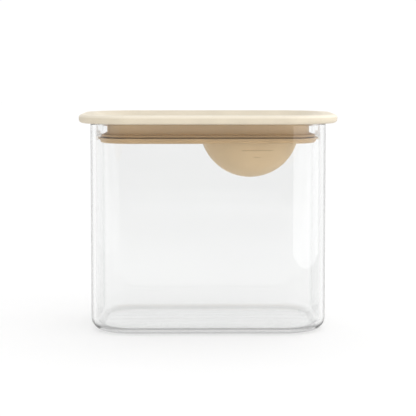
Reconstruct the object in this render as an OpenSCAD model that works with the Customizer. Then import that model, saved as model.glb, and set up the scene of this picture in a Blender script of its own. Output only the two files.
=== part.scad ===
// Lidded glass canister: a rounded glass jar, a press-in lid with a flexible seal, and a
// measuring scoop whose round bowl hangs through the lid while its handle lies in the lid's tray.
// Millimetres, +Z up, origin at the centre of the jar's underside, +X along the long side.

/* [Jar] */
// Outside length of the jar, along X
jar_length = 228; // [190:1:280]
// Height of the jar's rim above the table
jar_height = 201; // [150:1:260]
// Outside radius of the jar's upright corners
jar_corner_r = 42; // [38:0.5:60]
// Thickness of the glass wall
jar_wall = 4.8; // [3:0.1:6]
// Thickness of the glass floor
jar_base = 5; // [3:0.1:8]
// Outside rounding between the floor and the wall
jar_foot_r = 12; // [6:0.5:18]

/* [Lid] */
// How far the lid stands out past the glass
lid_overhang = 11.2; // [6:0.1:18]
// Thickness of the lid's flange
lid_thick = 8.5; // [8:0.1:12]
// Width of the rim round the lid's dished top
lid_rim = 14; // [6:0.1:16]
// How far the rim falls from the dish to its rounded outer edge
rim_fall = 0.3; // [0.2:0.1:0.8]
// Depth of the dished top below the rim's highest part
dish_depth = 5; // [2:0.1:5.5]
// Gap between the lid's underside and the glass rim
lid_seat_gap = 0.3; // [0.2:0.05:0.6]

/* [Lid plug] */
// Gap between the plug's collar and the inside of the glass
collar_gap = 11.5; // [9:0.1:14]
// Thickness of the collar
collar_wall = 2.4; // [1.6:0.1:3]
// How far the collar reaches down below the lid's flange
collar_drop = 19; // [17:0.1:30]
// How far the ledge stands out from the collar
ledge_reach = 6; // [4:0.1:7.5]
// Thickness of the ledge
ledge_thick = 2.1; // [2:0.1:4]
// Depth of the tray's floor below the flange's underside
tray_drop = 3.7; // [2:0.1:6]
// Thickness of the tray's floor
tray_floor = 2.4; // [1.6:0.1:3]

/* [Seal] */
// Gap between the tip of the seal's fin and the inside of the glass
fin_gap = 2.4; // [0.4:0.1:4]
// Height of the seal ring
seal_height = 5; // [4.2:0.1:6]
// How far the fin stands out past the seal's outer face
fin_reach = 2.1; // [1:0.1:3]

/* [Scoop] */
// Outside radius of the scoop's bowl
bowl_r = 49.4; // [40:0.1:60]
// Thickness of the bowl
bowl_wall = 1.9; // [1.2:0.1:2.5]
// Straight part of the bowl between its round part and the underside of its brim
bowl_straight = 2.8; // [1:0.1:8]
// How far the brim stands out past the bowl
brim_reach = 2.9; // [2.4:0.1:5]
// Thickness of the brim
brim_thick = 1.9; // [1.4:0.1:3]
// Width of the handle
handle_width = 22; // [14:1:30]
// Radius of the hole near the handle's tip
handle_hole_r = 4.5; // [3:0.1:6]

/* [Fits] */
// Gap between the brim and the tray's side walls, which sets how deep the jar is
brim_side_gap = 1; // [0.6:0.1:25]
// Gap between the brim and the tray's end wall
brim_end_gap = 1.5; // [0.6:0.1:12]
// Finger room between the handle's tip and the tray's other end wall
handle_end_gap = 18.5; // [6:0.5:30]
// Gap round the bowl where it passes through the lid
scoop_gap = 0.6; // [0.3:0.05:0.6]
// Thickness of the soft ring under the brim
gasket_thick = 0.8; // [0.6:0.1:1.5]
// Gap between the soft ring and the brim that rests on it
brim_gap = 0.2; // [0.1:0.05:0.4]

/* [Hidden] */
$fn = 96;

sand = "#dfcfae";
sand_dark = "#cdb78f";
clear_glass = [0.86, 0.9, 0.9, 0.35];

// The jar is as deep as the scoop's brim needs, across the tray, the collar and the glass.
brim_r = bowl_r + brim_reach;
jar_depth = 2 * (brim_r + brim_side_gap + collar_wall + collar_gap + jar_wall);

// Every rounded outline shares the jar's four corner axes, so an outline is known by its radius alone.
axis_x = jar_length / 2 - jar_corner_r;
axis_y = jar_depth / 2 - jar_corner_r;
ARC_STEPS = 6;
LIP_R = 1.2;

inner_r = jar_corner_r - jar_wall;
inner_foot_r = max(jar_foot_r - min(jar_wall, jar_base), 1);

lid_under = jar_height + lid_seat_gap;
lid_r = jar_corner_r + lid_overhang;
lid_top_z = lid_under + lid_thick;
dish_z = lid_top_z - dish_depth;
EDGE_TOP_R = 3.4;
EDGE_UNDER_R = 3.6;
DISH_LIP_R = 1.5;

collar_r = inner_r - collar_gap;
collar_in_r = collar_r - collar_wall;
collar_z = lid_under - collar_drop;
ledge_r = collar_r + ledge_reach;
tray_z = lid_under - tray_drop;

fin_r = inner_r - fin_gap;
seal_r = fin_r - fin_reach;
seal_top_z = collar_z + seal_height;
FOOT_LIP = 2.6;
FOOT_LIP_THICK = 1.2;
SEAL_ROUND = 2;
FIN_TIP = 1;
FIN_STEP = 0.3;
FIN_ROOT = 1.4;
FIN_THICK = 2.1;
ledge_gap = 0.9;
ledge_z = seal_top_z + ledge_gap;

brim_under = tray_z + gasket_thick + brim_gap;
brim_top = brim_under + brim_thick;
bowl_z = brim_under - bowl_straight;
bowl_hole_r = bowl_r + scoop_gap;
BRIM_ROUND = 0.6;
GASKET_INSET = 0.2;

HANDLE_THICK = 2.4;
HANDLE_EDGE = 1.8;
HANDLE_PANEL = 0.9;
tray_half_x = axis_x + collar_in_r;
scoop_x = tray_half_x - brim_end_gap - brim_r;
tip_r = handle_width / 2;
tip_x = handle_end_gap + tip_r - tray_half_x;

MARK_PROUD = 0.35;
MARK_HALF = 0.45;
MARK_TURN = 8;
// Each mark on the bowl: its angle below the bowl's equator, and how wide an arc it spans
MARKS = [[25, 40], [34, 9]];

// Points of an arc, from one angle to another
function arc(cu, cz, r, from, to) =
    [for (i = [0:ARC_STEPS]) let (a = from + (to - from) * i / ARC_STEPS)
        [cu + r * cos(a), cz + r * sin(a)]];

// Carries a profile once round the rounded outline. The profile's first value is the distance
// from a corner's axis, and its second is the height.
module sweep_round(points) {
    for (sx = [0, 1], sy = [0, 1])
        mirror([sx, 0, 0])
            mirror([0, sy, 0])
                translate([axis_x, axis_y, 0])
                    rotate_extrude(angle = 90)
                        polygon(points);
    for (sx = [0, 1])
        mirror([sx, 0, 0])
            translate([axis_x, axis_y, 0])
                rotate([90, 0, 0])
                    linear_extrude(2 * axis_y)
                        polygon(points);
    for (sy = [0, 1])
        mirror([0, sy, 0])
            translate([-axis_x, axis_y, 0])
                rotate([90, 0, 90])
                    linear_extrude(2 * axis_x)
                        polygon(points);
}

// Fills the middle that a profile reaching the corner axes leaves open
module core(z0, z1) {
    translate([-axis_x, -axis_y, z0])
        cube([2 * axis_x, 2 * axis_y, z1 - z0]);
}

module glass_jar() {
    profile = concat(
        [[0, 0]],
        arc(jar_corner_r - jar_foot_r, jar_foot_r, jar_foot_r, -90, 0),
        arc(jar_corner_r - LIP_R, jar_height - LIP_R, LIP_R, 0, 90),
        arc(inner_r + LIP_R, jar_height - LIP_R, LIP_R, 90, 180),
        arc(inner_r - inner_foot_r, jar_base + inner_foot_r, inner_foot_r, 0, -90),
        [[0, jar_base]]
    );
    color(clear_glass) union() {
        sweep_round(profile);
        core(0, jar_base);
    }
}

module lid_top() {
    lean = atan(rim_fall / (lid_rim - EDGE_TOP_R));
    profile = concat(
        [[collar_r, lid_under]],
        arc(lid_r - EDGE_UNDER_R, lid_under + EDGE_UNDER_R, EDGE_UNDER_R, -90, 0),
        arc(lid_r - EDGE_TOP_R, lid_top_z - rim_fall - EDGE_TOP_R, EDGE_TOP_R, 0, 90 - lean),
        arc(lid_r - lid_rim, lid_top_z - DISH_LIP_R, DISH_LIP_R, 90 - lean, 150),
        [[collar_r, dish_z]]
    );
    color(sand) sweep_round(profile);
}

module lid_plug() {
    collar = [
        [collar_in_r, collar_z],
        [collar_r + FOOT_LIP, collar_z],
        [collar_r + FOOT_LIP, collar_z + FOOT_LIP_THICK],
        [collar_r, collar_z + FOOT_LIP_THICK],
        [collar_r, ledge_z],
        [ledge_r, ledge_z],
        [ledge_r, ledge_z + ledge_thick],
        [collar_r, ledge_z + ledge_thick],
        [collar_r, dish_z],
        [collar_in_r, dish_z]
    ];
    color(sand) difference() {
        union() {
            sweep_round(collar);
            tray();
        }
        translate([scoop_x, 0, tray_z - 2 * tray_floor])
            cylinder(r = bowl_hole_r, h = 3 * tray_floor);
    }
}

// The tray's floor, which fills the collar
module tray() {
    under = tray_z - tray_floor;
    half_y = axis_y + collar_in_r;
    translate([-tray_half_x, -axis_y, under])
        cube([2 * tray_half_x, 2 * axis_y, tray_floor]);
    translate([-axis_x, -half_y, under])
        cube([2 * axis_x, 2 * half_y, tray_floor]);
    for (sx = [-1, 1], sy = [-1, 1])
        translate([sx * axis_x, sy * axis_y, under])
            cylinder(r = collar_in_r, h = tray_floor);
}

module lid_seal() {
    lip_z = collar_z + FOOT_LIP_THICK;
    lip_r = collar_r + FOOT_LIP;
    profile = concat(
        [[collar_r, lip_z], [lip_r, lip_z], [lip_r, collar_z]],
        arc(seal_r - SEAL_ROUND, collar_z + SEAL_ROUND, SEAL_ROUND, -90, 0),
        [
            [seal_r, seal_top_z - FIN_THICK],
            [fin_r, seal_top_z - FIN_TIP],
            [fin_r, seal_top_z],
            [seal_r - FIN_ROOT, seal_top_z - FIN_STEP],
            [collar_r, seal_top_z - FIN_STEP]
        ]
    );
    color(sand_dark) sweep_round(profile);
}

module scoop() {
    in_r = bowl_r - bowl_wall;
    color(sand) union() {
        translate([scoop_x, 0, 0])
            difference() {
                union() {
                    bowl_outside();
                    for (m = MARKS)
                        bowl_mark(m[0], m[1]);
                }
                translate([0, 0, bowl_z])
                    sphere(r = in_r);
                translate([0, 0, bowl_z])
                    cylinder(r = in_r, h = brim_top - bowl_z + 1);
            }
        handle();
    }
}

// The bowl as a solid of revolution, before it is hollowed
module bowl_outside() {
    translate([0, 0, bowl_z])
        intersection() {
            sphere(r = bowl_r);
            translate([0, 0, -bowl_r])
                cylinder(r = bowl_r + 1, h = bowl_r);
        }
    translate([0, 0, bowl_z])
        cylinder(r = bowl_r, h = brim_under - bowl_z);
    translate([0, 0, brim_under])
        rotate_extrude()
            polygon([
                [0, 0],
                [brim_r, 0],
                [brim_r, brim_thick - BRIM_ROUND],
                [brim_r - BRIM_ROUND, brim_thick],
                [0, brim_thick]
            ]);
}

// A raised line that runs part of the way round the front of the bowl
module bowl_mark(down, span) {
    ring_r = bowl_r * cos(down);
    translate([0, 0, bowl_z - bowl_r * sin(down)])
        rotate([0, 0, -90 + MARK_TURN - span / 2])
            rotate_extrude(angle = span)
                polygon([
                    [ring_r - bowl_wall / 2, -MARK_HALF],
                    [ring_r + MARK_PROUD, -MARK_HALF],
                    [ring_r + MARK_PROUD, MARK_HALF],
                    [ring_r - bowl_wall / 2, MARK_HALF]
                ]);
}

// The flat handle, which runs from the brim towards the lid's far end
module handle() {
    difference() {
        translate([0, 0, brim_under])
            linear_extrude(HANDLE_THICK)
                handle_outline(0);
        translate([0, 0, brim_under + HANDLE_THICK - HANDLE_PANEL])
            linear_extrude(HANDLE_THICK)
                difference() {
                    handle_outline(HANDLE_EDGE);
                    translate([tip_x, 0])
                        circle(r = handle_hole_r + HANDLE_EDGE);
                }
        translate([tip_x, 0, brim_under - 1])
            cylinder(r = handle_hole_r, h = HANDLE_THICK + 2);
        translate([scoop_x, 0, brim_under - 1])
            cylinder(r = bowl_r, h = HANDLE_THICK + 2);
    }
}

// The handle's outline, drawn in by an edge width
module handle_outline(edge) {
    neck_x = scoop_x - bowl_r - 0.5 * brim_reach - edge;
    translate([tip_x, edge - tip_r])
        square([neck_x - tip_x, handle_width - 2 * edge]);
    translate([tip_x, 0])
        circle(r = tip_r - edge);
}

module scoop_gasket() {
    color(sand_dark)
        translate([scoop_x, 0, tray_z])
            difference() {
                cylinder(r = brim_r - GASKET_INSET, h = gasket_thick);
                translate([0, 0, -1])
                    cylinder(r = bowl_hole_r, h = gasket_thick + 2);
            }
}

glass_jar();
lid_top();
lid_plug();
lid_seal();
scoop();
scoop_gasket();
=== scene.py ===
from math import cos, pi, radians, sin

import bmesh
import bpy
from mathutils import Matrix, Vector


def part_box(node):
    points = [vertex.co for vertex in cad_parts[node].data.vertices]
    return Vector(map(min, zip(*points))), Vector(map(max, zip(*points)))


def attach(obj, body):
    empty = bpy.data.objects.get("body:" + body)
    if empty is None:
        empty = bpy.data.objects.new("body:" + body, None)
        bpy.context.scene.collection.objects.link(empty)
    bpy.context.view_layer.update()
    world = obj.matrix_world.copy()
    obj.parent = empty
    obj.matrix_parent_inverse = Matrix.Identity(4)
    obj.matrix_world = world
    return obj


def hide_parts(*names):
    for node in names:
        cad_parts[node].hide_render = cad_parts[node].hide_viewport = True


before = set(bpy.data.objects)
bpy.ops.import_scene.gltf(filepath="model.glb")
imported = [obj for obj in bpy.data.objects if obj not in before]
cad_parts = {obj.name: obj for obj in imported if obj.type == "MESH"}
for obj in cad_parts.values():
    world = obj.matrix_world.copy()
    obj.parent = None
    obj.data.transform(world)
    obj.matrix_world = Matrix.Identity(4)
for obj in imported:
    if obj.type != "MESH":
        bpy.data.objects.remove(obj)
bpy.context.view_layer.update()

MM = 0.001

# ---------------------------------------------------------------- sizes, from the frame

jar_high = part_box("glass_jar")[1]
top_low, top_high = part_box("lid_top")
plug_low, plug_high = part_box("lid_plug")
seal_low, seal_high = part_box("lid_seal")
scoop_low, scoop_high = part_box("scoop")
gasket_low, gasket_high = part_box("scoop_gasket")

# The jar: its upright corners, its glass, and the roundings of its foot and its rim
JAR_CORNER_R = 42 * MM
JAR_WALL = 4.8 * MM
JAR_FLOOR = 5 * MM
JAR_FOOT_R = 12 * MM
JAR_LIP_R = 1.5 * MM

# Every rounded outline shares the four corner axes, so its distance from an axis says all
AXIS_X = jar_high.x - JAR_CORNER_R
AXIS_Y = jar_high.y - JAR_CORNER_R
INNER_R = JAR_CORNER_R - JAR_WALL
LID_R = top_high.y - AXIS_Y
LEDGE_R = plug_high.y - AXIS_Y
FIN_R = seal_high.y - AXIS_Y

# The lid's top
LID_RIM = 14 * MM
RIM_FALL = 0.3 * MM
EDGE_TOP_R = 3.4 * MM
EDGE_UNDER_R = 3.6 * MM
RIM_INNER_R = 4 * MM
DISH_FOOT = 2 * MM
DISH_R = 7 * MM
DISH_Z = plug_high.z

# The lid's collar, its ledge and its tray
COLLAR_WALL = 2.4 * MM
LEDGE_REACH = 6 * MM
LEDGE_THICK = 2.1 * MM
LEDGE_EDGE_R = 0.9 * MM
COLLAR_R = LEDGE_R - LEDGE_REACH
COLLAR_IN_R = COLLAR_R - COLLAR_WALL
LEDGE_GAP = 0.9 * MM
LEDGE_Z = seal_high.z + LEDGE_GAP
LEDGE_TOP = LEDGE_Z + LEDGE_THICK
COLLAR_FOOT_COVE = 1.8 * MM
COLLAR_HEAD_COVE = 2.5 * MM
PLUG_EDGE = 0.5 * MM
PLUG_LIP_REACH = 2.6 * MM
PLUG_LIP_THICK = 1.2 * MM
PLUG_LIP_R = COLLAR_R + PLUG_LIP_REACH
PLUG_LIP_TOP = plug_low.z + PLUG_LIP_THICK
TRAY_Z = gasket_low.z
TRAY_FLOOR = 2.4 * MM
TRAY_COVE = 1.6 * MM
TRAY_FLAT = 4 * MM

# The seal
FIN_REACH = 2.1 * MM
FIN_THICK = 2.1 * MM
FIN_TIP = 1 * MM
FIN_STEP = 0.3 * MM
FIN_ROOT = 1.4 * MM
FIN_COVE = 2.8 * MM
FIN_ROOT_R = 0.1 * MM
FIN_TIP_R = 0.3 * MM
SEAL_R = FIN_R - FIN_REACH

# The scoop's bowl
BOWL_WALL = 1.9 * MM
BRIM_REACH = 2.9 * MM
BRIM_THICK = 1.9 * MM
MOUTH_R = 1.1 * MM
SCOOP_EDGE = 0.7 * MM
BRIM_GAP = 0.2 * MM
BOWL_GAP = 0.6 * MM
BRIM_R = scoop_high.y
BOWL_R = BRIM_R - BRIM_REACH
BOWL_IN_R = BOWL_R - BOWL_WALL
SCOOP_X = scoop_high.x - BRIM_R
BOWL_Z = scoop_low.z + BOWL_R
BRIM_UNDER = gasket_high.z + BRIM_GAP
BRIM_TOP = BRIM_UNDER + BRIM_THICK
BOWL_HOLE_R = BOWL_R + BOWL_GAP

# The scoop's handle
HANDLE_HALF = 11 * MM
HANDLE_HOLE_R = 4.5 * MM
HANDLE_BORDER = 1.9 * MM
PANEL_DEPTH = 0.9 * MM
PANEL_SLOPE = 0.4 * MM
PANEL_END = 3 * MM
ROOT_GAP = 1.2 * MM
HANDLE_TOP = scoop_high.z
HANDLE_CENTRE = scoop_low.x + HANDLE_HALF
HANDLE_ROOT = SCOOP_X - BOWL_R - ROOT_GAP

# The raised marks on the bowl: height, share of it left at an end, half width and root
MARK_PROUD = 0.32 * MM
MARK_END = 0.35
MARK_HALF = 0.6 * MM
MARK_ROOT = 0.6 * MM

# How far the marks are turned from the bowl's front towards +X, in degrees
MARK_TURN = 8

CORNER_STEPS = 28
SHARP = radians(40)

# ---------------------------------------------------------------- mesh helpers


def arc(cr, cz, r, start, end, steps=8):
    """Points of an arc in a profile, from one angle in degrees to another."""
    out = []
    for i in range(steps + 1):
        a = radians(start + (end - start) * i / steps)
        out.append((cr + r * cos(a), cz + r * sin(a)))
    return out


def rounded(points, radii, steps=6):
    """A closed profile with each corner rounded by its own radius, 0 for a sharp one."""
    out = []
    count = len(points)
    for i, (p, r) in enumerate(zip(points, radii)):
        if r == 0:
            out.append(p)
            continue
        here = Vector(p)
        to_last = (Vector(points[i - 1]) - here).normalized()
        to_next = (Vector(points[(i + 1) % count]) - here).normalized()
        half = to_last.angle(to_next) / 2
        centre = here + (to_last + to_next).normalized() * (r / sin(half))
        reach = r / sin(half) * cos(half)
        a = here + to_last * reach - centre
        b = here + to_next * reach - centre
        turn = a.angle(b)
        for k in range(steps + 1):
            f = k / steps
            v = (a * sin((1 - f) * turn) + b * sin(f * turn)) / sin(turn)
            out.append(tuple(centre + v))
    return out


def outline(r, steps=CORNER_STEPS):
    """The rounded rectangle at a distance from the corner axes, anticlockwise from +X."""
    out = []
    for k, (sx, sy) in enumerate(((1, 1), (-1, 1), (-1, -1), (1, -1))):
        for i in range(steps + 1):
            a = k * pi / 2 + pi / 2 * i / steps
            out.append((sx * AXIS_X + r * cos(a), sy * AXIS_Y + r * sin(a)))
    return out


def circle(x, y, r, steps):
    """The points of a circle, anticlockwise from +X."""
    angles = [2 * pi * i / steps for i in range(steps)]
    return [(x + r * cos(a), y + r * sin(a)) for a in angles]


def ring_of(bm, points, z):
    """New vertices for the points of an outline, at one height."""
    return [bm.verts.new((x, y, z)) for x, y in points]


def bridge(bm, a, b):
    """Joins two loops of as many points with a band of faces."""
    count = len(a)
    for i in range(count):
        j = (i + 1) % count
        bm.faces.new((a[i], a[j], b[j], b[i]))


def fill(bm, *loops):
    """Fills a flat outline, with the other loops as holes in it."""
    if len(loops) == 1:
        bm.faces.new(loops[0])
        return
    edges = []
    for loop in loops:
        for i, v in enumerate(loop):
            w = loop[(i + 1) % len(loop)]
            edges.append(bm.edges.get((v, w)) or bm.edges.new((v, w)))
    bmesh.ops.triangle_fill(bm, use_beauty=True, use_dissolve=False, edges=edges)


def sweep(bm, profile, closed=True):
    """Carries a profile round the rounded rectangle, and returns its rings."""
    rings = [ring_of(bm, outline(r), z) for r, z in profile]
    for a, b in zip(rings, rings[1:]):
        bridge(bm, a, b)
    if closed:
        bridge(bm, rings[-1], rings[0])
    return rings


def lathe(bm, profile, x, steps=128, closed=True):
    """Turns a profile about an upright axis. A point on the axis becomes a pole."""
    rings = []
    for r, z in profile:
        rings.append([bm.verts.new((x, 0, z))] if r == 0 else ring_of(bm, circle(x, 0, r, steps), z))
    pairs = list(zip(rings, rings[1:])) + ([(rings[-1], rings[0])] if closed else [])
    for a, b in pairs:
        if len(a) == 1 or len(b) == 1:
            pole, ring = (a[0], b) if len(a) == 1 else (b[0], a)
            for i in range(steps):
                bm.faces.new((pole, ring[i], ring[(i + 1) % steps]))
        else:
            bridge(bm, a, b)
    return rings


def shade(bm):
    """Makes the faces smooth, and the edges between them crisp where they turn sharply."""
    for f in bm.faces:
        f.smooth = True
    for e in bm.edges:
        e.smooth = not (e.is_manifold and e.calc_face_angle(0) > SHARP)


def make(name, bm):
    """Turns a bmesh into an object in the scene."""
    bmesh.ops.recalc_face_normals(bm, faces=bm.faces)
    shade(bm)
    mesh = bpy.data.meshes.new(name)
    bm.to_mesh(mesh)
    bm.free()
    obj = bpy.data.objects.new(name, mesh)
    bpy.context.scene.collection.objects.link(obj)
    return obj


def even_shading(obj):
    """Weights the normals by face area, so that flat faces stay flat beside their roundings."""
    m = obj.modifiers.new("weighted", "WEIGHTED_NORMAL")
    m.keep_sharp = True
    m.weight = 90


def join_solids(obj, other):
    """Unites two closed solids into one, with no faces left inside."""
    m = obj.modifiers.new("unite", "BOOLEAN")
    m.operation = "UNION"
    m.solver = "EXACT"
    m.object = other
    shown = obj.evaluated_get(bpy.context.evaluated_depsgraph_get())
    mesh = bpy.data.meshes.new_from_object(shown)
    obj.modifiers.clear()
    obj.data = mesh
    bpy.data.objects.remove(other)
    bm = bmesh.new()
    bm.from_mesh(mesh)
    bmesh.ops.remove_doubles(bm, verts=bm.verts, dist=1e-6)
    shade(bm)
    bm.to_mesh(mesh)
    bm.free()
    return obj


# ---------------------------------------------------------------- node helpers


def node_material(name):
    """A new material, with its node tree, its Principled shader and its object coordinates."""
    m = bpy.data.materials.new(name)
    m.use_nodes = True
    nt = m.node_tree
    place = nt.nodes.new("ShaderNodeTexCoord").outputs["Object"]
    return m, nt, nt.nodes["Principled BSDF"], place


def remap(nt, value, a, b, c, d):
    """Takes the span a to b of a value to c to d."""
    n = nt.nodes.new("ShaderNodeMapRange")
    for name, v in (("From Min", a), ("From Max", b), ("To Min", c), ("To Max", d)):
        n.inputs[name].default_value = v
    nt.links.new(value, n.inputs["Value"])
    return n.outputs["Result"]


def noise(nt, place, scale, detail=2.0, roughness=0.5):
    """Noise as it comes, from 0 to 1 and mostly near the middle."""
    n = nt.nodes.new("ShaderNodeTexNoise")
    n.inputs["Scale"].default_value = scale
    n.inputs["Detail"].default_value = detail
    n.inputs["Roughness"].default_value = roughness
    nt.links.new(place, n.inputs["Vector"])
    return n.outputs["Fac"]


def mottle(nt, place, scale, detail, low=0, high=1):
    """Noise stretched so that its middle part fills the span from low to high."""
    return remap(nt, noise(nt, place, scale, detail), 0.3, 0.7, low, high)


def blend_colour(nt, factor, a, b):
    """Mixes two colours, each one a colour or another node's output."""
    n = nt.nodes.new("ShaderNodeMix")
    n.data_type = "RGBA"
    nt.links.new(factor, n.inputs["Factor"])
    for name, v in (("A", a), ("B", b)):
        socket = [s for s in n.inputs if s.name == name and s.type == "RGBA"][0]
        if isinstance(v, tuple):
            socket.default_value = (*v, 1)
        else:
            nt.links.new(v, socket)
    return [s for s in n.outputs if s.type == "RGBA"][0]


def math_node(nt, operation, a, b=0):
    """One Math node on one or two inputs, each a number or another node's output."""
    n = nt.nodes.new("ShaderNodeMath")
    n.operation = operation
    for socket, v in zip(n.inputs, (a, b)):
        if isinstance(v, (int, float)):
            socket.default_value = v
        else:
            nt.links.new(v, socket)
    return n.outputs[0]


def part_of(nt, vector, axis):
    """The X, Y or Z of a vector."""
    split = nt.nodes.new("ShaderNodeSeparateXYZ")
    nt.links.new(vector, split.inputs[0])
    return split.outputs[axis]


def height_of(nt, place):
    """The height of a point above the floor."""
    return part_of(nt, place, "Z")


def reach_of(nt, place):
    """The level distance of a point from the nearest corner axis, as in the outlines."""
    squares = []
    for axis, start in (("X", AXIS_X), ("Y", AXIS_Y)):
        side = math_node(nt, "ABSOLUTE", part_of(nt, place, axis))
        leg = math_node(nt, "MAXIMUM", math_node(nt, "SUBTRACT", side, start), 0)
        squares.append(math_node(nt, "MULTIPLY", leg, leg))
    return math_node(nt, "SQRT", math_node(nt, "ADD", *squares))


def bowl_depth_of(nt, place):
    """The distance of a point from the middle of the scoop's round bowl."""
    n = nt.nodes.new("ShaderNodeVectorMath")
    n.operation = "DISTANCE"
    n.inputs[1].default_value = (SCOOP_X, 0, BOWL_Z)
    nt.links.new(place, n.inputs[0])
    return n.outputs["Value"]


def add_bump(nt, shader, height, strength, distance):
    """Gives a shader a bump from a height."""
    b = nt.nodes.new("ShaderNodeBump")
    b.inputs["Strength"].default_value = strength
    b.inputs["Distance"].default_value = distance
    nt.links.new(height, b.inputs["Height"])
    nt.links.new(b.outputs["Normal"], shader.inputs["Normal"])


# ---------------------------------------------------------------- materials


def plastic(name, base, rough, speckle, *tints):
    """Matte moulded plastic filled with fine plant fibre: a soft mottle, small flecks and a fine grain.

    Each tint is a colour and the spans that bring it in, such as (height_of, from, to).
    """
    m, nt, shader, place = node_material(name)
    ground = blend_colour(nt, mottle(nt, place, 45, 3), base, tuple(c * 0.93 for c in base))
    for colour, *spans in tints:
        amount = 1.0
        for measure, start, end in spans:
            amount = math_node(nt, "MULTIPLY", remap(nt, measure(nt, place), start, end, 0, 1), amount)
        ground = blend_colour(nt, amount, ground, colour)
    dots = remap(nt, noise(nt, place, 950, 2, 0.6), 0.64, 0.74, 0, speckle)
    nt.links.new(blend_colour(nt, dots, ground, FLECK), shader.inputs["Base Color"])
    gloss = mottle(nt, place, 260, 3, rough - 0.06, rough + 0.06)
    nt.links.new(gloss, shader.inputs["Roughness"])
    shader.inputs["IOR"].default_value = 1.46
    add_bump(nt, shader, noise(nt, place, 1600, 3, 0.6), 0.25, 0.12 * MM)
    return m


def silicone(name, base):
    """Soft moulded silicone: satin, with a faint mottle and a very fine grain."""
    m, nt, shader, place = node_material(name)
    colour = blend_colour(nt, mottle(nt, place, 70, 3), base, tuple(c * 0.92 for c in base))
    nt.links.new(colour, shader.inputs["Base Color"])
    nt.links.new(mottle(nt, place, 180, 2, 0.42, 0.55), shader.inputs["Roughness"])
    shader.inputs["IOR"].default_value = 1.41
    add_bump(nt, shader, noise(nt, place, 1200, 2), 0.15, 0.1 * MM)
    return m


def glass_colour(nt, place):
    """Nearly colourless glass, greyer on walls seen edge on, at the foot and most in its front bends.
    The grey stands partly for the glass's own tone through its thickness and partly is painted shade:
    the dark lines at its edges and along the front of its foot.
    """
    colour = blend_colour(nt, mottle(nt, place, 9, 2), GLASS, GLASS_MOTTLE)
    layer = nt.nodes.new("ShaderNodeLayerWeight")
    layer.inputs["Blend"].default_value = 0.5
    edge_on = remap(nt, layer.outputs["Facing"], 0.6, 0.95, 0, 1)
    normal = nt.nodes["Texture Coordinate"].outputs["Normal"]
    level = math_node(nt, "ABSOLUTE", part_of(nt, normal, "Z"))
    wall = math_node(nt, "MULTIPLY", edge_on, remap(nt, level, 0, 0.5, 1, 0))
    colour = blend_colour(nt, wall, colour, GLASS_EDGE)
    foot = remap(nt, height_of(nt, place), 2 * MM, 9 * MM, 1, 0)
    colour = blend_colour(nt, foot, colour, GLASS_FOOT)
    # Painted shade: a dark line where the foot's bends meet the floor, strongest at the front
    low = remap(nt, height_of(nt, place), 2.5 * MM, 5.5 * MM, 1, 0)
    turned = remap(nt, reach_of(nt, place), JAR_CORNER_R - 12 * MM, JAR_CORNER_R - 8 * MM, 0, 1)
    front = remap(nt, part_of(nt, place, "Y"), -AXIS_Y, 0, 1, 0.15)
    bend = math_node(nt, "MULTIPLY", math_node(nt, "MULTIPLY", low, turned), front)
    return blend_colour(nt, bend, colour, GLASS_BEND)


def clear_glass(name):
    """Clear pressed glass with faint waves. Lamps shine straight through it."""
    m, nt, shader, place = node_material(name)
    nt.links.new(glass_colour(nt, place), shader.inputs["Base Color"])
    shader.inputs["Transmission Weight"].default_value = 1.0
    shader.inputs["Roughness"].default_value = 0.0
    shader.inputs["IOR"].default_value = 1.5
    add_bump(nt, shader, noise(nt, place, 14, 1), 0.0015, 0.5 * MM)
    see_through = nt.nodes.new("ShaderNodeBsdfTransparent")
    see_through.inputs["Color"].default_value = (0.965, 0.967, 0.967, 1)
    mix = nt.nodes.new("ShaderNodeMixShader")
    path = nt.nodes.new("ShaderNodeLightPath")
    nt.links.new(path.outputs["Is Shadow Ray"], mix.inputs["Fac"])
    nt.links.new(shader.outputs["BSDF"], mix.inputs[1])
    nt.links.new(see_through.outputs["BSDF"], mix.inputs[2])
    nt.links.new(mix.outputs["Shader"], nt.nodes["Material Output"].inputs["Surface"])
    return m


def dress(obj, material, slot, body, *nodes):
    """Gives a piece its material, its body and the CAD nodes that it stands for."""
    obj.data.materials.clear()
    obj.data.materials.append(material)
    even_shading(obj)
    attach(obj, body)
    if nodes:
        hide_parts(*nodes)
    return obj


# ---------------------------------------------------------------- jar and lid


def jar_mesh():
    """The jar: a thick rounded foot, plain walls and a fire-polished rim."""
    foot_in = JAR_FOOT_R - JAR_WALL
    lip_z = jar_high.z - JAR_LIP_R
    profile = arc(JAR_CORNER_R - JAR_FOOT_R, JAR_FOOT_R, JAR_FOOT_R, -90, 0, 16)
    profile += arc(JAR_CORNER_R - JAR_LIP_R, lip_z, JAR_LIP_R, 0, 90)
    profile += arc(INNER_R + JAR_LIP_R, lip_z, JAR_LIP_R, 90, 180)
    profile += arc(INNER_R - foot_in, JAR_FLOOR + foot_in, foot_in, 0, -90, 14)
    bm = bmesh.new()
    rings = sweep(bm, profile, closed=False)
    fill(bm, rings[0])
    fill(bm, rings[-1])
    return make("jar", bm)


def lid_top_mesh():
    """The lid's top: a flange with soft edges, a nearly flat rim, and a dish down to the tray."""
    z = top_high.z
    points = [
        (COLLAR_R, top_low.z),
        (LID_R, top_low.z),
        (LID_R, z - RIM_FALL),
        (LID_R - LID_RIM, z),
        (COLLAR_R + DISH_FOOT, DISH_Z),
        (COLLAR_R, DISH_Z),
    ]
    radii = [0, EDGE_UNDER_R, EDGE_TOP_R, RIM_INNER_R, DISH_R, 0]
    bm = bmesh.new()
    sweep(bm, rounded(points, radii, 10))
    return make("lid_top_shell", bm)


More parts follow.
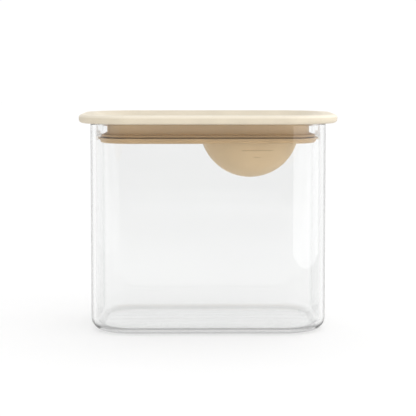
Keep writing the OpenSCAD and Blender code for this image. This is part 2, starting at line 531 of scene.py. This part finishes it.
def lid_plug_mesh():
    """The lid's lower part: the collar with its ledge, and the tray with the hole for the bowl."""
    under = TRAY_Z - TRAY_FLOOR
    foot = plug_low.z
    edge = PLUG_EDGE
    cove = TRAY_COVE
    profile = [(COLLAR_IN_R - TRAY_FLAT, under)]
    profile += arc(COLLAR_IN_R - cove, under - cove, cove, 90, 0)
    profile += arc(COLLAR_IN_R + edge, foot + edge, edge, 180, 270, 4)
    profile += arc(PLUG_LIP_R - edge, foot + edge, edge, -90, 0, 4)
    profile += [(PLUG_LIP_R, PLUG_LIP_TOP), (COLLAR_R, PLUG_LIP_TOP), (COLLAR_R, LEDGE_Z)]
    profile += arc(LEDGE_R - edge, LEDGE_Z + edge, edge, -90, 0, 4)
    profile += arc(LEDGE_R - LEDGE_EDGE_R, LEDGE_TOP - LEDGE_EDGE_R, LEDGE_EDGE_R, 0, 90, 6)
    profile += arc(COLLAR_R + COLLAR_FOOT_COVE, LEDGE_TOP + COLLAR_FOOT_COVE, COLLAR_FOOT_COVE, 270, 180)
    profile += arc(COLLAR_R + COLLAR_HEAD_COVE, top_low.z - COLLAR_HEAD_COVE, COLLAR_HEAD_COVE, 180, 90)
    profile += [(COLLAR_R, top_low.z), (COLLAR_R, DISH_Z)]
    profile += arc(COLLAR_IN_R + edge, DISH_Z - edge, edge, 90, 180, 4)
    profile += arc(COLLAR_IN_R - cove, TRAY_Z + cove, cove, 0, -90)
    hole = arc(BOWL_HOLE_R + edge, under + edge, edge, -90, -180, 4)
    hole += arc(BOWL_HOLE_R + edge, TRAY_Z - edge, edge, 180, 90, 4)
    bm = bmesh.new()
    rings = sweep(bm, profile, closed=False)
    walls = lathe(bm, hole, SCOOP_X, closed=False)
    fill(bm, rings[0], walls[0])
    fill(bm, rings[-1], walls[-1])
    return make("lid_plug_shell", bm)


def seal_mesh():
    """The seal: a soft ring with a pointed fin that tapers back below its tip."""
    top = seal_high.z
    corners = [
        (COLLAR_R, PLUG_LIP_TOP, 0),
        (PLUG_LIP_R, PLUG_LIP_TOP, 0),
        (PLUG_LIP_R, seal_low.z, 0),
        (SEAL_R, seal_low.z, FIN_COVE),
        (SEAL_R, top - FIN_THICK, FIN_ROOT_R),
        (FIN_R, top - FIN_TIP, FIN_TIP_R),
        (FIN_R, top, FIN_TIP_R),
        (SEAL_R - FIN_ROOT, top - FIN_STEP, 0),
        (COLLAR_R, top - FIN_STEP, 0),
    ]
    bm = bmesh.new()
    sweep(bm, rounded([c[:2] for c in corners], [c[2] for c in corners]))
    return make("seal_ring", bm)


def gasket_mesh():
    """The soft ring under the scoop's brim."""
    r_out = gasket_high.y
    points = [
        (BOWL_HOLE_R, gasket_low.z),
        (r_out, gasket_low.z),
        (r_out, gasket_high.z),
        (BOWL_HOLE_R, gasket_high.z),
    ]
    radii = [0, 0.3 * MM, 0.3 * MM, 0.2 * MM]
    bm = bmesh.new()
    lathe(bm, rounded(points, radii, 4), SCOOP_X)
    return make("brim_ring", bm)


# ---------------------------------------------------------------- scoop


def bowl_solid():
    """The scoop's bowl with its rounded brim, as a closed turned shell."""
    edge = SCOOP_EDGE
    profile = [(0, BOWL_Z - BOWL_R)] + arc(0, BOWL_Z, BOWL_R, -89, 0, 40)
    profile += arc(BOWL_R + edge, BRIM_UNDER - edge, edge, 180, 90, 5)
    profile += arc(BRIM_R - edge, BRIM_UNDER + edge, edge, -90, 0, 5)
    profile += arc(BRIM_R - edge, BRIM_TOP - edge, edge, 0, 90, 5)
    profile += arc(BOWL_IN_R + MOUTH_R, BRIM_TOP - MOUTH_R, MOUTH_R, 90, 180, 7)
    profile += arc(0, BOWL_Z, BOWL_IN_R, 0, -89, 40) + [(0, BOWL_Z - BOWL_IN_R)]
    bm = bmesh.new()
    lathe(bm, profile, SCOOP_X, closed=False)
    return make("measuring_scoop", bm)


def handle_outline(inset, root):
    """The handle's outline seen from above, drawn in by an inset."""
    half = HANDLE_HALF - inset
    tip = arc(HANDLE_CENTRE, 0, half, 90, 270, 24)
    return [(root, half)] + tip + [(root, -half)]


def handle_solid():
    """The flat handle: soft edges, a sunk panel, and a hanging hole with a raised edge."""
    edge = SCOOP_EDGE
    sunk = HANDLE_TOP - PANEL_DEPTH
    levels = [(r, z, 0) for r, z in arc(edge, BRIM_UNDER + edge, edge, -90, -180, 5)]
    levels += [(r, z, 0) for r, z in arc(edge, HANDLE_TOP - edge, edge, 180, 90, 5)]
    levels.append((HANDLE_BORDER, HANDLE_TOP, PANEL_END))
    levels.append((HANDLE_BORDER + PANEL_SLOPE, sunk, PANEL_END + PANEL_SLOPE))
    boss = HANDLE_HOLE_R + HANDLE_BORDER
    hole = [(boss + PANEL_SLOPE, sunk), (boss, HANDLE_TOP)]
    hole += arc(HANDLE_HOLE_R + edge, HANDLE_TOP - edge, edge, 90, 180, 5)
    hole += arc(HANDLE_HOLE_R + edge, BRIM_UNDER + edge, edge, 180, 270, 5)
    bm = bmesh.new()
    loops = [ring_of(bm, handle_outline(inset, HANDLE_ROOT - back), z) for inset, z, back in levels]
    for a, b in zip(loops, loops[1:]):
        bridge(bm, a, b)
    walls = lathe(bm, hole, HANDLE_CENTRE, steps=64, closed=False)
    fill(bm, loops[-1], walls[0])
    fill(bm, loops[0], walls[-1])
    return make("handle", bm)


def on_bowl(r, turn, down):
    """A point at a distance from the middle of the bowl, turned about Z and then down from level."""
    return SCOOP_X + r * cos(down) * cos(turn), r * cos(down) * sin(turn), BOWL_Z - r * sin(down)


def bowl_mark(down, span):
    """A raised line that runs part of the way round the front of the bowl, lower at its ends."""
    steps = 24
    bm = bmesh.new()
    rings = []
    for i in range(steps + 1):
        turn = radians(-90 + MARK_TURN - span / 2 + span * i / steps)
        proud = MARK_PROUD * (MARK_END if i in (0, steps) else 1)
        ring = []
        for side, out in ((-1, -MARK_ROOT), (-0.6, proud), (0.6, proud), (1, -MARK_ROOT)):
            at = radians(down) + side * MARK_HALF / BOWL_R
            ring.append(bm.verts.new(on_bowl(BOWL_R + out, turn, at)))
        rings.append(ring)
    for a, b in zip(rings, rings[1:]):
        bridge(bm, a, b)
    fill(bm, rings[0])
    fill(bm, rings[-1])
    return make("mark", bm)


# ---------------------------------------------------------------- colours and pieces

SAND = (0.665, 0.59, 0.46)
# Painted shade: a deeper, more saturated copy of the sand, for the scoop in the shade under the lid
SAND_DEEP_SHADED = (0.84, 0.62, 0.36)
# Painted shade: a shade darker than the scoop, for the shade along its raised marks
SAND_MARK = tuple(c * 0.8 for c in SAND_DEEP_SHADED)
# Painted shade: a warmer, more saturated copy of the sand, for the plug in the shade under the lid
SAND_WARM_SHADED = (0.93, 0.71, 0.45)
# The paler, unshaded tone of the sand, where the plug and the scoop are out of the lid's shade
SAND_PALE = (0.7, 0.6, 0.44)
SAND_DARK = (0.6, 0.4, 0.2)
# Painted highlight: a paler sand for the upper rounding of the lid's outer edge
SAND_EDGE_HIGHLIGHT = (0.76, 0.69, 0.565)
# Painted shade: a deeper copy of the sand, for the seal and the brim ring in the shade under the lid and
# in the groove
SAND_SOFT_SHADED = (0.74, 0.51, 0.27)
FLECK = (0.45, 0.31, 0.17)
GLASS = (0.95, 0.953, 0.951)
GLASS_MOTTLE = (0.94, 0.943, 0.942)
# Greys for the glass's edges, foot and foot bends: partly its own tone where it is thick, partly painted
# shade
GLASS_EDGE = (0.7, 0.71, 0.71)
GLASS_FOOT = (0.74, 0.745, 0.74)
GLASS_BEND = (0.36, 0.36, 0.36)

# Painted highlight: a paler band on the upper rounding of the lid's outer edge, where the light catches
# it
painted_edge_highlight = (
    SAND_EDGE_HIGHLIGHT,
    (reach_of, LID_R - 6 * MM, LID_R - 3 * MM),
    (height_of, top_high.z - 3.2 * MM, top_high.z - 2 * MM),
)
neck_shade = (SAND_DARK, (height_of, top_low.z - 1 * MM, LEDGE_TOP))
tray_side = (SAND_PALE, (reach_of, COLLAR_R - 0.5 * MM, COLLAR_R - 1.5 * MM))
scoop_top = (SAND_PALE, (height_of, BRIM_UNDER - 3 * MM, BRIM_UNDER))
scoop_inside = (SAND_PALE, (bowl_depth_of, BOWL_R - 0.5 * MM, BOWL_R - 1.2 * MM))

glass = clear_glass("clear_glass")
lid_plastic = plastic("sand_plastic", SAND, 0.5, 0.5, painted_edge_highlight)
# Painted shade: the plug's warm base colour stands for the shade under the lid, darker still towards the
# ledge; the tray's inner side keeps the paler, unshaded tone
plug_plastic = plastic("sand_plastic_inner", SAND_WARM_SHADED, 0.52, 0.35, neck_shade, tray_side)
# Painted shade: the scoop's deep base colour stands for the shade under the lid; its brim, handle and
# the inside of its bowl keep the paler, unshaded tone
scoop_plastic = plastic("scoop_plastic", SAND_DEEP_SHADED, 0.48, 0.3, scoop_top, scoop_inside)
# Painted shade: the raised marks are a shade darker than the bowl they stand on
mark_plastic = plastic("scoop_plastic_mark", SAND_MARK, 0.5, 0.3)
# Painted shade: the silicone's deep tone stands for the shade in the groove under the lid
soft_seal = silicone("sand_silicone", SAND_SOFT_SHADED)

dress(jar_mesh(), glass, "clear_glass", "jar", "glass_jar")
lid_shell = dress(lid_top_mesh(), lid_plastic, "sand_plastic", "lid", "lid_top")
dress(lid_plug_mesh(), plug_plastic, "sand_plastic", "lid", "lid_plug")
dress(seal_mesh(), soft_seal, "sand_silicone", "lid", "lid_seal")
dress(gasket_mesh(), soft_seal, "sand_silicone", "lid", "scoop_gasket")
dress(join_solids(bowl_solid(), handle_solid()), scoop_plastic, "scoop_plastic", "scoop", "scoop")
for down, span in ((25, 40), (34, 9)):
    dress(bowl_mark(down, span), mark_plastic, "scoop_plastic", "scoop")

# ---------------------------------------------------------------- floor, light and camera


def mirrored_front(nt, place, start, end):
    """From 0 at one Y to 1 at another, nearer the camera, and only for rays mirrored by a surface."""
    mirrored = nt.nodes.new("ShaderNodeLightPath").outputs["Is Glossy Ray"]
    return math_node(nt, "MULTIPLY", remap(nt, part_of(nt, place, "Y"), start, end, 0, 1), mirrored)


def floor_material():
    """A pale, lit table top. Its mirror image in the glass fades towards the camera."""
    m, nt, shader, place = node_material("pale_floor")
    far = blend_colour(nt, mottle(nt, place, 3, 2), (0.45, 0.45, 0.45), (0.435, 0.435, 0.435))
    dim = mirrored_front(nt, place, -0.45, -0.9)
    nt.links.new(blend_colour(nt, dim, far, (0.4, 0.4, 0.4)), shader.inputs["Base Color"])
    shader.inputs["Emission Color"].default_value = (1, 1, 1, 1)
    nt.links.new(remap(nt, dim, 0, 1, 0.53, 0.05), shader.inputs["Emission Strength"])
    shader.inputs["Roughness"].default_value = 0.9
    shader.inputs["Specular IOR Level"].default_value = 0.1
    return m


def floor():
    """A plain floor that reaches well past the picture."""
    bm = bmesh.new()
    bmesh.ops.create_grid(bm, x_segments=1, y_segments=1, size=8)
    obj = make("floor", bm)
    obj.data.materials.append(floor_material())


def soft_light(name, place, aim, width, height, radiance, mirrored):
    """A soft panel of an even brightness. It's either mirrored in the glass or fills the shadows."""
    data = bpy.data.lights.new(name, "AREA")
    data.shape = "RECTANGLE"
    data.size = width
    data.size_y = height
    data.energy = radiance * pi * width * height
    obj = bpy.data.objects.new(name, data)
    obj.location = place
    obj.rotation_euler = (Vector(aim) - Vector(place)).to_track_quat("-Z", "Y").to_euler()
    obj.visible_camera = False
    obj.visible_glossy = mirrored
    obj.visible_transmission = False
    obj.visible_diffuse = not mirrored
    bpy.context.scene.collection.objects.link(obj)


def sky_light(name, towards, power, spread, only=()):
    """A very large, very soft lamp far away. It can be kept to a few pieces."""
    data = bpy.data.lights.new(name, "SUN")
    data.energy = power
    data.angle = radians(spread)
    obj = bpy.data.objects.new(name, data)
    obj.location = towards
    obj.rotation_euler = (-Vector(towards)).to_track_quat("-Z", "Y").to_euler()
    bpy.context.scene.collection.objects.link(obj)
    if only:
        lit = bpy.data.collections.new(name + "_lit")
        for piece in only:
            lit.objects.link(piece)
        obj.light_linking.receiver_collection = lit


def studio_world():
    """A white room, brightest high up at the back and right. Mirrored in the glass, the front is dim."""
    world = bpy.data.worlds.new("studio")
    world.use_nodes = True
    nt = world.node_tree
    place = nt.nodes.new("ShaderNodeTexCoord").outputs["Generated"]
    right = math_node(nt, "MULTIPLY", part_of(nt, place, "X"), 0.6)
    back_right = math_node(nt, "ADD", right, part_of(nt, place, "Y"))
    high_tone = remap(nt, back_right, -0.7, 0.8, 0, 1)
    high = blend_colour(nt, high_tone, (0.45, 0.45, 0.45), (1.4, 1.4, 1.4))
    dim = mirrored_front(nt, place, -0.35, -0.95)
    low = blend_colour(nt, dim, (1.03, 1.03, 1.03), (0.35, 0.35, 0.35))
    rise = remap(nt, height_of(nt, place), 0.12, 0.45, 0, 1)
    nt.links.new(blend_colour(nt, rise, low, high), nt.nodes["Background"].inputs["Color"])
    bpy.context.scene.world = world


def camera():
    """Looks at the front from a little above the lid, far enough away for nearly parallel sides."""
    distance = 1.45
    height = 0.26
    aside = -0.0132
    tilt_down = 0.0739
    turn = -0.0092
    data = bpy.data.cameras.new("camera")
    data.sensor_width = 36
    data.lens = 126.8
    data.shift_y = -0.0907
    obj = bpy.data.objects.new("camera", data)
    obj.location = (aside, -distance, height)
    obj.rotation_euler = (pi / 2 - tilt_down, 0, turn)
    bpy.context.scene.collection.objects.link(obj)
    bpy.context.scene.camera = obj


PANEL_Z = 0.39
PANEL_HEIGHT = 0.76

floor()
studio_world()
sky_light("overhead", (0.15, -0.6, 1), 0.55, 70)
sky_light("lid_key", (0.8, 0.4, 0.6), 0.68, 40, [lid_shell])
soft_light("right_panel", (0.445, -0.21, PANEL_Z), (0, 0, PANEL_Z), 0.68, PANEL_HEIGHT, 1.7, True)
soft_light("left_panel", (-0.6, -0.2, PANEL_Z), (0, 0, PANEL_Z), 0.8, PANEL_HEIGHT, 0.35, True)
soft_light("front_fill", (0.3, -1.3, 0.3), (0, 0, 0.12), 1.0, 0.5, 2.8, False)
camera()
bpy.context.scene.view_settings.view_transform = "Standard"
